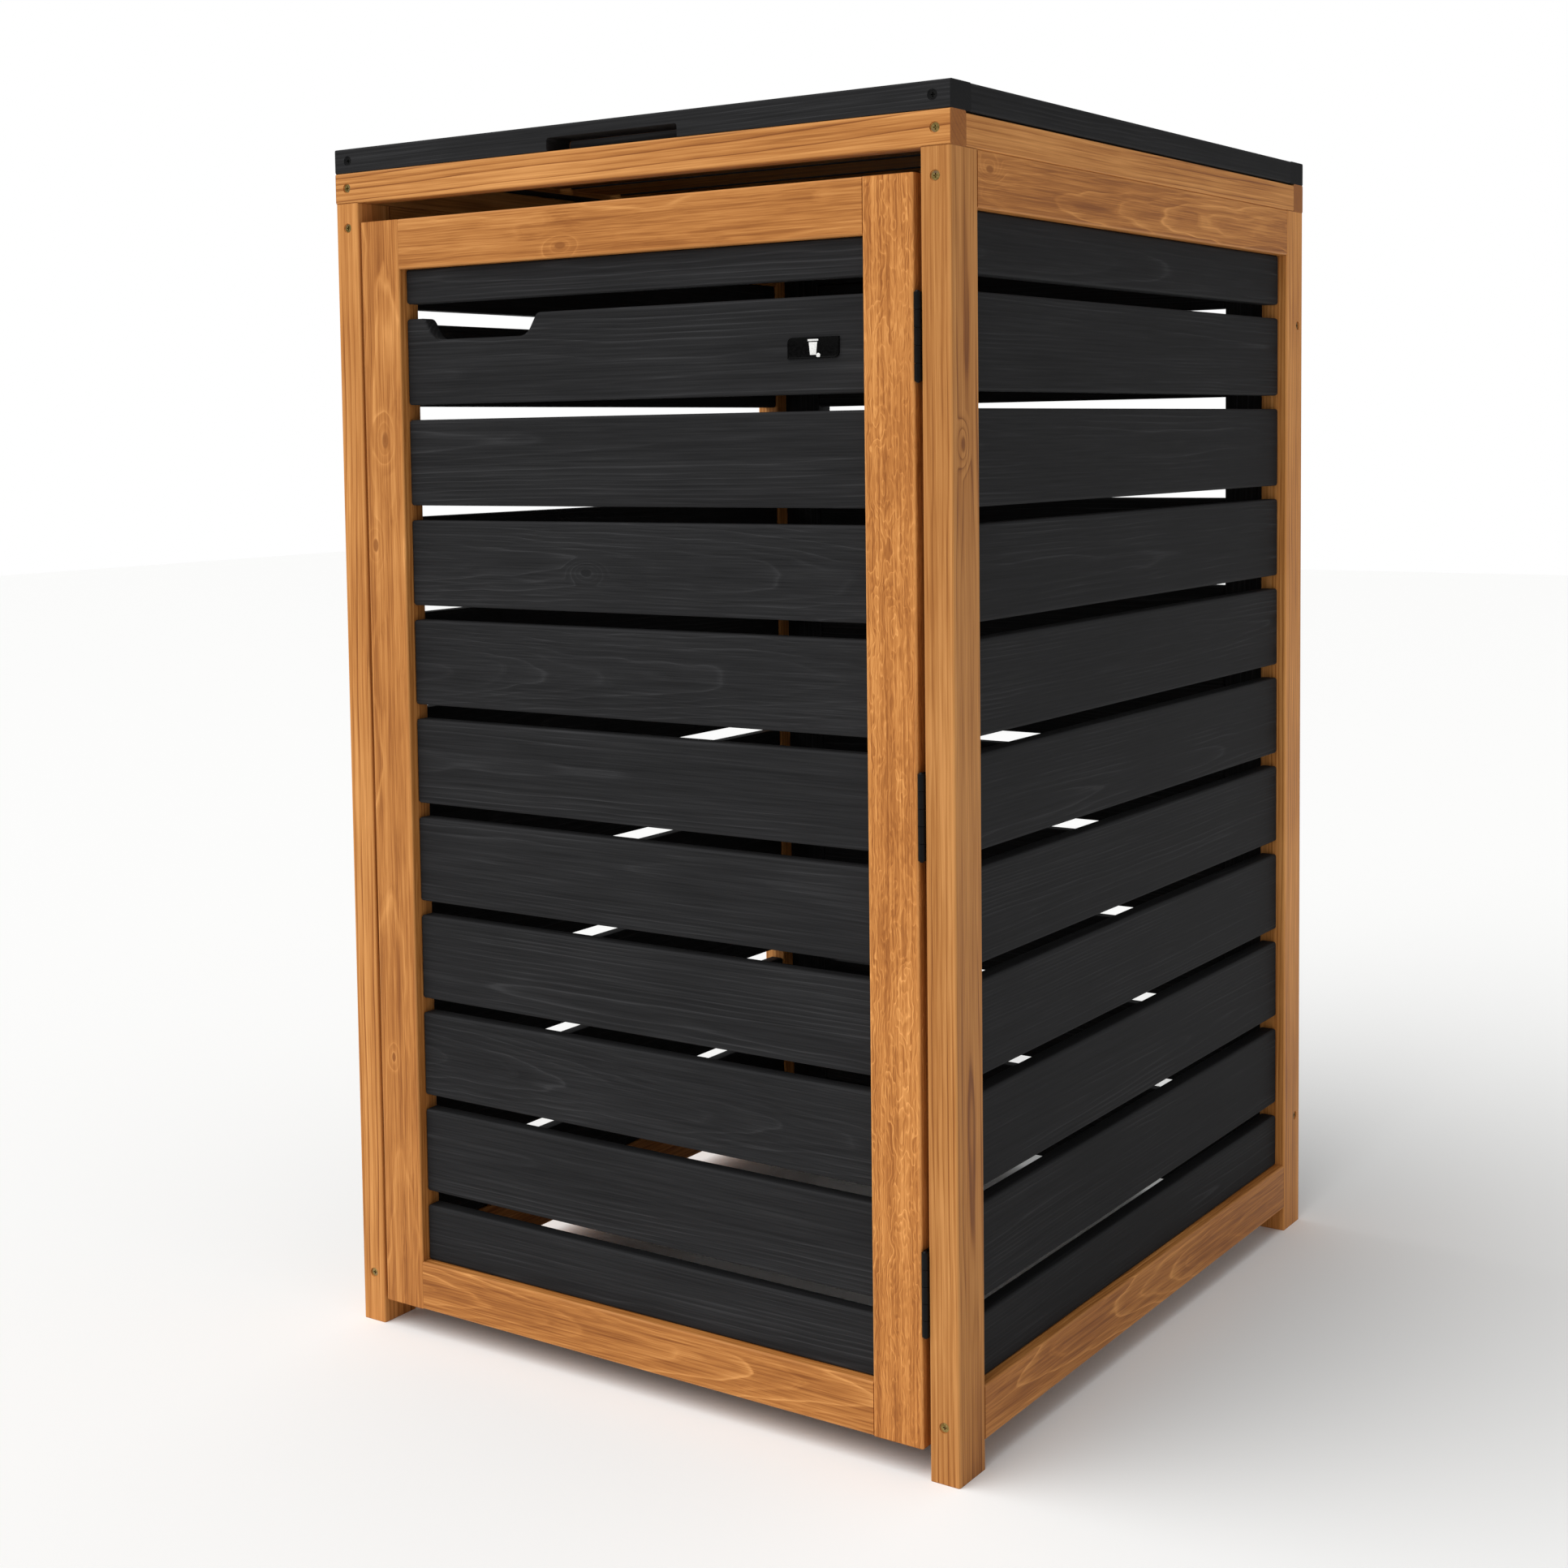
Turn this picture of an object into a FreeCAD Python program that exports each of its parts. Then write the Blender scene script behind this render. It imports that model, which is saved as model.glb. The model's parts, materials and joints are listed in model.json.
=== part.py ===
"""Timber store for one wheeled bin, with a hung door and a hinged lid.

The origin is at the middle of the footprint on the ground, hinge barrels counted.
+X is to the right as seen from the door, +Y runs from the door to the back and +Z is up.
Lengths are in millimetres.
"""
import FreeCAD, Part
import os
import re

X, Y, Z = 0, 1, 2
AXES = (FreeCAD.Vector(1, 0, 0), FreeCAD.Vector(0, 1, 0), FreeCAD.Vector(0, 0, 1))

SIZES = [
    ("width", 700, "overall width across the posts"),
    ("depth", 808, "overall depth, front of posts to back of posts"),
    ("height", 1200, "overall height, ground to top of lid"),
    ("post_w", 29, "post, across the front"),
    ("post_d", 47, "post, front to back"),
    ("ring_high", 30, "top frame, height"),
    ("ring_t", 27, "top frame, thickness of its four rails"),
    ("ring_drop", 1.5, "top frame, how far its side rails stay below the lid"),
    ("rail_high", 49, "side and back rails, height"),
    ("ground_gap", 26, "clear height under the rails and the door"),
    ("door_head_gap", 20, "clear height over the door"),
    ("door_gap", 3.5, "clearance at the door's opening edge"),
    ("panel_t", 28, "door and back panel, thickness"),
    ("stile_w", 50, "door and back panel, width of the stiles"),
    ("slat_t", 18, "slats, thickness"),
    ("slat_gap", 14.7, "slats, clear height between two"),
    ("slat_recess", 9.5, "slats, set back from the frame's outer face"),
    ("foot_strip", 57, "lowest cut-down slat, height"),
    ("head_strip", 54, "highest cut-down slat of the side panels, height"),
    ("slat_ease", 3, "slats, rounding of the edges"),
    ("frame_ease", 2, "posts and rails, rounding of the long edges"),
    ("tenon_l", 12, "stub tenons, length"),
    ("tenon_t", 8, "stub tenons, thickness"),
    ("tenon_in", 10, "stub tenons, shoulder above and below"),
    ("lid_t", 24, "lid rails, height"),
    ("lid_end_w", 36, "front and back lid rails, width"),
    ("lid_side_w", 46, "side lid rails, width"),
    ("lid_board_t", 18, "lid boards, thickness"),
    ("lid_gap", 15, "lid boards, clear width between two"),
    ("lid_notch_l", 150, "finger notch in the lid, length"),
    ("lid_notch_deep", 12.5, "finger notch in the lid, height"),
    ("lid_notch_r", 3, "finger notch in the lid, corner radius"),
    ("lid_notch_off", 3, "finger notch in the lid, left of centre"),
    ("pull_l", 129, "hand notch in the door, length at half depth"),
    ("pull_deep", 21.5, "hand notch in the door, depth"),
    ("pull_slope", 13, "hand notch in the door, how far each end wall leans outwards"),
    ("pull_r", 16, "hand notch in the door, radius of the lower corners"),
    ("pull_mouth_r", 7, "hand notch in the door, radius of the corners at its mouth"),
    ("pull_in", 79.5, "hand notch in the door, distance from the door's edge"),
    ("badge_l", 53, "name plate, length"),
    ("badge_high", 18.5, "name plate, height"),
    ("badge_t", 1.5, "name plate, thickness"),
    ("badge_r", 5, "name plate, radius of its two rounded corners"),
    ("badge_in", 79, "name plate, distance from the door's hinge edge"),
    ("badge_up", 31, "name plate, height above the slat's lower edge"),
    ("hinge_long", 75, "hinges, length of the barrel"),
    ("barrel_r", 3.2, "hinges, barrel radius"),
    ("hinge_off", 3.5, "hinges, from the barrel's axis to the timber"),
    ("leaf_t", 2, "hinges, leaf thickness"),
    ("leaf_w", 26, "hinges, from the barrel's axis to the leaf's edge"),
    ("knuckle_gap", 0.4, "hinges, clearance between knuckles"),
    ("pin_r", 1.6, "hinges, pin radius"),
    ("pin_fit", 0.05, "hinges, radial clearance of the pin"),
    ("pin_head_r", 2.5, "hinges, radius of the pin's heads"),
    ("pin_tip_r", 1.5, "hinges, radius of the flat on the pin's heads"),
    ("pin_head_t", 1.4, "hinges, height of the pin's heads"),
    ("hinge_low_in", 139, "lower door hinge, from the door's foot to the hinge's middle"),
    ("hinge_mid_up", 5.5, "middle door hinge, height of its middle above the door's middle"),
    ("hinge_top_in", 137, "upper door hinge, from the door's top to the hinge's middle"),
    ("lid_hinge_in", 130, "lid hinges, from the side to the hinge's middle"),
    ("leaf_hole_in", 15, "hinges, from the barrel's axis to the screws"),
    ("leaf_hole_step", 27, "hinges, spacing of the screws"),
    ("head_r", 4, "frame screws, head radius"),
    ("cone_deep", 2.6, "frame screws, height of the countersunk head"),
    ("shank_r", 2.2, "frame screws, shank radius"),
    ("long_screw", 80, "frame screws, length through the posts"),
    ("short_screw", 60, "frame screws, length through the rails"),
    ("screw_sink", 1.2, "frame screws, depth of the head below the face"),
    ("sink_room", 0.8, "frame screws, room around the head"),
    ("bore_room", 0.1, "radial room of the pilot bores and under countersunk heads"),
    ("slot_l", 4.2, "frame screws, length of the cross recess"),
    ("slot_w", 1, "frame screws, width of the cross recess"),
    ("slot_deep", 1.6, "frame screws, depth of the cross recess"),
    ("small_head_r", 3.2, "hinge screws, head radius"),
    ("small_cone", 1.9, "hinge screws, height of the countersunk head"),
    ("small_shank_r", 1.5, "hinge screws, shank radius"),
    ("small_screw", 25, "hinge screws, length"),
    ("small_slot_l", 3.2, "hinge screws, length of the cross recess"),
    ("tip_room", 1, "room in the pilot bores beyond the screws' tips"),
    ("screw_in", 15, "end screws, distance from the outer face"),
    ("lid_screw_in", 17, "end screws of the lid, distance from the outer face"),
    ("ring_screw_in", 22.5, "screws from the top frame down into the posts, distance from the side"),
    ("stile_screw_in", 125, "back panel screws, distance from the ends of the post"),
    ("catch_w", 15, "magnet catch, across the door"),
    ("catch_d", 16, "magnet catch, front to back"),
    ("catch_high", 46, "magnet catch, height"),
    ("catch_ease", 1.5, "magnet catch, rounding"),
    ("catch_hole_step", 26, "magnet catch, spacing of its screws"),
    ("catch_down", 22, "magnet catch, from the door's top to the catch's middle"),
    ("strike_t", 2, "strike plate, thickness"),
    ("strike_high", 38, "strike plate, height"),
    ("strike_w", 14, "strike plate, width"),
    ("strike_in", 1, "strike plate, distance from the door's edge"),
]
FULL_SLATS = 9      # slats of full height in each panel
LID_BOARDS = 8
KNUCKLES = 5        # of each hinge, its two leaves together
TIP_LONG = 2        # length of a screw's tip, in shank radii
TIP_TAPER = 4       # shank radius over the radius at the very tip
NEAR = 0.01         # how near an edge lies to where it is looked for

doc = FreeCAD.newDocument("BinStore")
sheet = doc.addObject("Spreadsheet::Sheet", "Sizes")
for row, (alias, value, note) in enumerate(SIZES, 1):
    sheet.set(f"A{row}", note)
    sheet.set(f"B{row}", str(value))
    sheet.setAlias(f"B{row}", alias)
doc.recompute()
ALIASES = {alias for alias, value, note in SIZES}

boards = {}     # name of each timber piece: its body and its lower corner
outputs = []    # objects that are written out, one per node


# ---------------------------------------------------------------- expressions

def cells(text):
    """Turn the plain size names of a formula into references to the sheet."""
    return re.sub(r"[a-z]\w*", lambda found: "Sizes." + found.group() if found.group() in ALIASES
                  else found.group(), text)


def bind(thing, **formulas):
    """Tie properties of an object to formulas of size names."""
    for name, formula in formulas.items():
        thing.setExpression(name, cells(formula))


def bind_place(thing, spot):
    """Tie an object's position to three formulas."""
    for letter, formula in zip("xyz", spot):
        thing.setExpression("Placement.Base." + letter, cells(formula))


def from_corner(spot, corner):
    """Position of a spot as seen from a body's own corner."""
    return [f"({a}) - ({b})" for a, b in zip(spot, corner)]


def along(spot, direction, distance):
    """Move a spot by a distance along a unit vector that lies on an axis."""
    return [f"({a}) + ({distance}) * ({part:g})" for a, part in zip(spot, direction)]


def turned(direction):
    """Placement that turns +Z to a direction."""
    return FreeCAD.Placement(FreeCAD.Vector(), FreeCAD.Rotation(AXES[Z], direction))


# ---------------------------------------------------------------- timber

def edges_of(shape, run=None):
    """Names of a box's edges, all of them or those along one axis."""
    names = []
    for number, edge in enumerate(shape.Edges, 1):
        if run is None or abs(edge.tangentAt(edge.FirstParameter).dot(AXES[run])) > 0.99:
            names.append(f"Edge{number}")
    return names


def timber(name, corner, size, run, ease="frame_ease", all_round=False, notch=None):
    """A board with eased edges, its lower corner and size given as formulas.

    A notch, where there is one, is cut and rounded before the edges are eased.
    """
    body = doc.addObject("PartDesign::Body", name)
    body.Label = name
    boards[name] = (body, corner)
    bind_place(body, corner)
    block = body.newObject("PartDesign::AdditiveBox", name + "_block")
    bind(block, Length=size[X], Width=size[Y], Height=size[Z])
    if notch:
        block = cut_notch(name, *notch)
    doc.recompute()
    easing = body.newObject("PartDesign::Fillet", name + "_easing")
    easing.Base = (block, edges_of(block.Shape, None if all_round else run))
    bind(easing, Radius=ease)
    return body


def cut_notch(name, corner, size, radius, slope="0", mouth_radius=None):
    """Cut a notch that runs along Y into a board and round its corners.

    Its length is the one at half depth, and its end walls may lean outwards.
    """
    body, body_corner = boards[name]
    tool = body.newObject("PartDesign::SubtractiveWedge", name + "_notch")
    tool.Placement = turned(AXES[Y] * -1)
    tool.Xmin, tool.Ymin, tool.Zmin, tool.X2min, tool.Z2min = 0, 0, 0, 0, 0
    bind(tool, Xmin=f"{slope} / 2", Xmax=f"{size[X]} - {slope} / 2", X2min=f"-{slope} / 2",
         X2max=f"{size[X]} + {slope} / 2", Ymax=size[Z], Zmax=size[Y], Z2max=size[Y])
    bind_place(tool, from_corner([corner[X], f"{corner[Y]} + {size[Y]}", corner[Z]], body_corner))
    rounded = tool
    for label, at_mouth, corner_radius in (("floor", False, radius), ("mouth", True, mouth_radius)):
        if corner_radius:
            doc.recompute()
            rounding = body.newObject("PartDesign::Fillet", f"{name}_{label}_rounding")
            rounding.Base = (rounded, notch_corners(rounded.Shape, tool, at_mouth))
            bind(rounding, Radius=corner_radius)
            rounded = rounding
    return rounded


def notch_corners(shape, tool, at_mouth):
    """Names of a notch's corner edges, those at its mouth or the others."""
    base = tool.Placement.Base
    walls = [base.x + part.Value for part in (tool.Xmin, tool.Xmax, tool.X2min, tool.X2max)]
    levels = (base.z, base.z + tool.Ymax.Value)
    whole = shape.BoundBox
    names = []
    for number, edge in enumerate(shape.Edges, 1):
        middle = edge.CenterOfMass
        at_wall = min(abs(middle.x - wall) for wall in walls) < NEAR
        at_level = min(abs(middle.z - level) for level in levels) < NEAR
        outermost = min(abs(middle.z - whole.ZMin), abs(middle.z - whole.ZMax)) < NEAR
        runs_through = abs(edge.tangentAt(edge.FirstParameter).dot(AXES[Y])) > 0.99
        if at_wall and at_level and runs_through and outermost == at_mouth:
            names.append(f"Edge{number}")
    return names


def tenon_of(corner, size, run, thick, end):
    """Corner and size of the stub tenon that stands out of one end of a board."""
    stub_corner = list(corner)
    stub_size = list(size)
    high = 3 - run - thick
    stub_corner[run] = f"({corner[run]}) + ({size[run]})" if end else f"({corner[run]}) - tenon_l"
    stub_size[run] = "tenon_l"
    stub_corner[thick] = f"({corner[thick]}) + (({size[thick]}) - tenon_t) / 2"
    stub_size[thick] = "tenon_t"
    stub_corner[high] = f"({corner[high]}) + tenon_in"
    stub_size[high] = f"({size[high]}) - 2 * tenon_in"
    return stub_corner, stub_size


def cut_box(name, corner, size):
    """Cut a box, given in the whole store's frame, out of a timber piece."""
    body, body_corner = boards[name]
    tool = body.newObject("PartDesign::SubtractiveBox", name + "_cut")
    bind(tool, Length=size[X], Width=size[Y], Height=size[Z])
    bind_place(tool, from_corner(corner, body_corner))
    return tool


def tenoned(name, corner, size, run, thick, ends, ease="frame_ease", all_round=False, notch=None):
    """A board with a stub tenon on each end, and the mortises that take them."""
    body = timber(name, corner, size, run, ease, all_round, notch)
    for end, holder in enumerate(ends):
        stub_corner, stub_size = tenon_of(corner, size, run, thick, end)
        stub = body.newObject("PartDesign::AdditiveBox", name + "_tenon")
        bind(stub, Length=stub_size[X], Width=stub_size[Y], Height=stub_size[Z])
        bind_place(stub, from_corner(stub_corner, corner))
        cut_box(holder, stub_corner, stub_size)
    return body


def drill(name, spot, direction, radius, deep):
    """Bore a round hole into a timber piece from a spot in the whole store's frame."""
    body, corner = boards[name]
    bore = body.newObject("PartDesign::SubtractiveCylinder", name + "_bore")
    bore.Placement = turned(direction)
    bind(bore, Radius=radius, Height=deep)
    bind_place(bore, from_corner(spot, corner))


def countersink(name, spot, direction, wide, narrow, deep):
    """Cut a cone into a timber piece, wide end at the spot."""
    body, corner = boards[name]
    cone = body.newObject("PartDesign::SubtractiveCone", name + "_sink")
    cone.Placement = turned(direction)
    bind(cone, Radius1=wide, Radius2=narrow, Height=deep)
    bind_place(cone, from_corner(spot, corner))


def output(thing):
    """Note an object that becomes a node of its own."""
    outputs.append(thing)
    return thing


def group(label, members):
    """Gather separate solids into one node."""
    bundle = doc.addObject("Part::Compound", label)
    bundle.Label = label
    bundle.Links = members
    return output(bundle)


# ---------------------------------------------------------------- screws

def screw_master(name, head, cone, shank, length, slot):
    """A countersunk cross-recess screw, head up at the origin and shank along +Z."""
    body = doc.addObject("PartDesign::Body", name)
    stem = body.newObject("PartDesign::AdditiveCylinder", name + "_shank")
    bind(stem, Radius=shank, Height=f"{length} - {TIP_LONG} * {shank}")
    skirt = body.newObject("PartDesign::AdditiveCone", name + "_head")
    bind(skirt, Radius1=head, Radius2=shank, Height=cone)
    tip = body.newObject("PartDesign::AdditiveCone", name + "_tip")
    bind(tip, Radius1=shank, Radius2=f"{shank} / {TIP_TAPER}", Height=f"{TIP_LONG} * {shank}")
    bind_place(tip, ["0", "0", f"{length} - {TIP_LONG} * {shank}"])
    for wide, deep in ((slot, "slot_w"), ("slot_w", slot)):
        recess = body.newObject("PartDesign::SubtractiveBox", name + "_recess")
        bind(recess, Length=wide, Width=deep, Height="slot_deep")
        bind_place(recess, [f"-{wide} / 2", f"-{deep} / 2", "0"])
    return body


long_master = screw_master("long_master", "head_r", "cone_deep", "shank_r", "long_screw", "slot_l")
short_master = screw_master("short_master", "head_r", "cone_deep", "shank_r", "short_screw", "slot_l")
small_master = screw_master("small_master", "small_head_r", "small_cone", "small_shank_r",
                            "small_screw", "small_slot_l")
screws = {"frame_screws": [], "fixed_hinge_screws": [], "door_hinge_screws": [], "lid_screws": []}


def copy_of(master, name, spot, placement):
    """A linked copy of a master, turned by a placement and put at a spot."""
    link = doc.addObject("App::Link", name)
    link.LinkedObject = master
    link.Placement = placement
    bind_place(link, spot)
    return link


def frame_screw(node, first, through, second, spot, direction, master, length):
    """A sunk screw from a spot on the first piece's face into the second piece."""
    seat = along(spot, direction, "screw_sink")
    drill(first, spot, direction, "head_r + sink_room", "screw_sink")
    countersink(first, seat, direction, "head_r + bore_room", "shank_r + bore_room", "cone_deep")
    drill(first, seat, direction, "shank_r + bore_room", f"({through}) - screw_sink")
    drill(second, along(spot, direction, through), direction, "shank_r + bore_room",
          f"{length} + screw_sink + tip_room - ({through})")
    screws[node].append(copy_of(master, node + "_screw", seat, turned(direction)))


def small_screw(node, holder, spot, direction, through):
    """A small flush screw that passes a plate of a given thickness into a timber piece."""
    drill(holder, along(spot, direction, through), direction, "small_shank_r + bore_room",
          f"small_screw + tip_room - ({through})")
    screws[node].append(copy_of(small_master, node + "_screw", spot, turned(direction)))


# ---------------------------------------------------------------- main planes

FRONT = "(-depth / 2 - hinge_off / 2)"          # front face of the posts
BACK = "(depth / 2 - hinge_off / 2)"            # back face of the posts
POST_TOP = "(height - lid_t - ring_high)"
RING_TOP = "(height - lid_t)"
RAIL_LOW = "(ground_gap + rail_high)"           # top of the bottom rails
RAIL_HIGH = f"({POST_TOP} - rail_high)"          # underside of the top rails
DOOR_TOP = f"({POST_TOP} - door_head_gap)"
DOOR_LEFT = "(-width / 2 + post_w + door_gap)"
DOOR_RIGHT = "(width / 2 - post_w - 2 * hinge_off)"
FIRST_SLAT = f"({RAIL_LOW} + foot_strip + slat_gap)"
LAST_STRIP = f"({RAIL_HIGH} - head_strip)"      # underside of the highest slat
PITCH = f"(({LAST_STRIP} - {FIRST_SLAT}) / {FULL_SLATS})"
SLAT_HIGH = f"({PITCH} - slat_gap)"
SIDES = (("left", -1), ("right", 1))


def side_x(side, inset, wide):
    """Lower X of a piece set in from one side of the store."""
    if side < 0:
        return f"(-width / 2 + {inset})"
    return f"(width / 2 - {inset} - {wide})"


def slat_rows(head):
    """Lower edge and height of each slat of a panel, from the ground up."""
    rows = [(RAIL_LOW, "foot_strip")]
    for number in range(FULL_SLATS):
        rows.append((f"({FIRST_SLAT} + {number} * {PITCH})", SLAT_HIGH))
    rows.append((LAST_STRIP, f"({head} - {LAST_STRIP})"))
    return rows


# ---------------------------------------------------------------- cabinet

def build_posts():
    """Four posts that stand on the ground."""
    for side_name, side in SIDES:
        for end_name, low_y in (("front", FRONT), ("back", f"({BACK} - post_d)")):
            corner = [side_x(side, "0", "post_w"), low_y, "0"]
            output(timber(f"post_{end_name}_{side_name}", corner, ["post_w", "post_d", POST_TOP], Z))


def build_top_frame():
    """A ring of four rails that lies on the posts and carries the lid."""
    long_size = ["width", "ring_t", "ring_high"]
    output(timber("top_frame_front", ["-width / 2", FRONT, POST_TOP], long_size, X))
    output(timber("top_frame_back", ["-width / 2", f"({BACK} - ring_t)", POST_TOP], long_size, X))
    short_size = ["ring_t", "depth - 2 * ring_t", "ring_high - ring_drop"]
    for side_name, side in SIDES:
        name = f"top_frame_{side_name}"
        corner = [side_x(side, "0", "ring_t"), f"({FRONT} + ring_t)", POST_TOP]
        output(timber(name, corner, short_size, Y))
        for end_name, face, inward in (("front", FRONT, 1), ("back", BACK, -1)):
            spot = [f"{side} * (width / 2 - screw_in)", face, f"({POST_TOP} + ring_high / 2)"]
            frame_screw("frame_screws", f"top_frame_{end_name}", "ring_t", name, spot,
                        AXES[Y] * inward, short_master, "short_screw")
            spot = [f"{side} * (width / 2 - ring_screw_in)", f"({face}) + ({inward}) * ring_t / 2", RING_TOP]
            frame_screw("frame_screws", f"top_frame_{end_name}", "ring_high",
                        f"post_{end_name}_{side_name}", spot, AXES[Z] * -1, short_master, "short_screw")


def build_side_panels():
    """Rails between the posts, screwed through them, and slats tenoned into them."""
    low_y = f"({FRONT} + post_d)"
    clear = "(depth - 2 * post_d)"
    for side_name, side in SIDES:
        posts = (f"post_front_{side_name}", f"post_back_{side_name}")
        for level, low_z in (("bottom", "ground_gap"), ("top", RAIL_HIGH)):
            name = f"{side_name}_{level}_rail"
            corner = [side_x(side, "0", "post_w"), low_y, low_z]
            output(timber(name, corner, ["post_w", clear, "rail_high"], Y))
            for post, face, inward in ((posts[0], FRONT, 1), (posts[1], BACK, -1)):
                spot = [f"{side} * (width / 2 - screw_in)", face, f"({low_z} + rail_high / 2)"]
                frame_screw("frame_screws", post, "post_d", name, spot, AXES[Y] * inward,
                            long_master, "long_screw")
        slats = []
        for number, (low_z, high) in enumerate(slat_rows(RAIL_HIGH), 1):
            corner = [side_x(side, "slat_recess", "slat_t"), low_y, low_z]
            slats.append(tenoned(f"{side_name}_slat_{number}", corner, ["slat_t", clear, high], Y, X,
                                 posts, "slat_ease", True))
        group(f"{side_name}_slats", slats)


def build_panel(prefix, left, right, face_y, low_z, high_z, slat_y, notches):
    """A framed panel: two stiles, two rails between them and slats between the stiles."""
    high = f"({high_z} - {low_z})"
    stiles = (f"{prefix}_left_stile", f"{prefix}_right_stile")
    output(timber(stiles[0], [left, face_y, low_z], ["stile_w", "panel_t", high], Z))
    output(timber(stiles[1], [f"({right} - stile_w)", face_y, low_z], ["stile_w", "panel_t", high], Z))
    low_x = f"({left} + stile_w)"
    clear = f"({right} - {left} - 2 * stile_w)"
    for level, rail_z in (("bottom", low_z), ("top", f"({high_z} - rail_high)")):
        output(tenoned(f"{prefix}_{level}_rail", [low_x, face_y, rail_z], [clear, "panel_t", "rail_high"],
                       X, Y, stiles))
    slats = []
    for number, (slat_z, slat_high) in enumerate(slat_rows(f"({high_z} - rail_high)"), 1):
        slats.append(tenoned(f"{prefix}_slat_{number}", [low_x, slat_y, slat_z],
                             [clear, "slat_t", slat_high], X, Y, stiles, "slat_ease", True,
                             notches.get(number)))
    return slats


def build_back_panel():
    """A framed panel between the back posts, screwed to them from the sides."""
    face_y = f"({BACK} - panel_t)"
    slats = build_panel("back", "(-width / 2 + post_w)", "(width / 2 - post_w)", face_y, "ground_gap",
                        POST_TOP, f"({BACK} - slat_recess - slat_t)", {})
    group("back_slats", slats)
    for side_name, side in SIDES:
        for low_z in ("stile_screw_in", f"({POST_TOP} - stile_screw_in)"):
            spot = [f"{side} * width / 2", f"({BACK} - panel_t / 2)", low_z]
            frame_screw("frame_screws", f"post_back_{side_name}", "post_w", f"back_{side_name}_stile", spot,
                        AXES[X] * -side, short_master, "short_screw")


# ---------------------------------------------------------------- door

def build_door():
    """A framed panel hung on the right, with a hand notch and a plain name plate."""
    slat_z = f"({FIRST_SLAT} + {FULL_SLATS - 1} * {PITCH})"
    pull = ([f"({DOOR_LEFT} + pull_in)", f"({FRONT} + slat_recess)",
             f"({slat_z} + {SLAT_HIGH} - pull_deep)"],
            ["pull_l", "slat_t", "pull_deep"], "pull_r", "pull_slope", "pull_mouth_r")
    slats = build_panel("door", DOOR_LEFT, DOOR_RIGHT, FRONT, "ground_gap", DOOR_TOP,
                        f"({FRONT} + slat_recess)", {FULL_SLATS + 1: pull})
    for slat in slats:
        output(slat)

    badge_corner = [f"({DOOR_RIGHT} - badge_in - badge_l)", f"({FRONT} + slat_recess - badge_t)",
                    f"({slat_z} + badge_up)"]
    badge = doc.addObject("PartDesign::Body", "name_plate")
    bind_place(badge, badge_corner)
    plate = badge.newObject("PartDesign::AdditiveBox", "plate")
    bind(plate, Length="badge_l", Width="badge_t", Height="badge_high")
    doc.recompute()
    rounded = []
    for number, edge in enumerate(plate.Shape.Edges, 1):
        middle = edge.CenterOfMass - plate.Shape.BoundBox.Center
        if middle.x * middle.z < -1:
            rounded.append(f"Edge{number}")
    rounding = badge.newObject("PartDesign::Fillet", "plate_rounding")
    rounding.Base = (plate, rounded)
    bind(rounding, Radius="badge_r")
    output(badge)


def build_catch():
    """A magnet catch on the left post, which also stops the door, and its strike plate."""
    inner_x = "(-width / 2 + post_w)"
    door_back = f"({FRONT} + panel_t)"
    middle_z = f"({DOOR_TOP} - catch_down)"
    corner = [inner_x, f"({door_back} + strike_t)", f"({middle_z} - catch_high / 2)"]
    output(timber("catch_housing", corner, ["catch_w", "catch_d", "catch_high"], Z, "catch_ease"))
    for step in (-1, 1):
        spot = [f"({inner_x} + catch_w)", f"({door_back} + strike_t + catch_d / 2)",
                f"({middle_z} + ({step}) * catch_hole_step / 2)"]
        inward = AXES[X] * -1
        countersink("catch_housing", spot, inward, "small_head_r + bore_room",
                    "small_shank_r + bore_room", "small_cone")
        drill("catch_housing", spot, inward, "small_shank_r + bore_room", "catch_w")
        small_screw("fixed_hinge_screws", "post_front_left", spot, inward, "catch_w")
    strike_x = f"({DOOR_LEFT} + strike_in)"
    corner = [strike_x, door_back, f"({middle_z} - strike_high / 2)"]
    output(timber("strike_plate", corner, ["strike_w", "strike_t", "strike_high"], Y, "catch_ease"))
    spot = [f"({strike_x} + strike_w / 2)", f"({door_back} + strike_t)", middle_z]
    outward = AXES[Y] * -1
    countersink("strike_plate", spot, outward, "small_head_r + bore_room", "small_shank_r + bore_room",
                "strike_t")
    small_screw("door_hinge_screws", "door_left_stile", spot, outward, "strike_t")


# ---------------------------------------------------------------- lid

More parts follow.
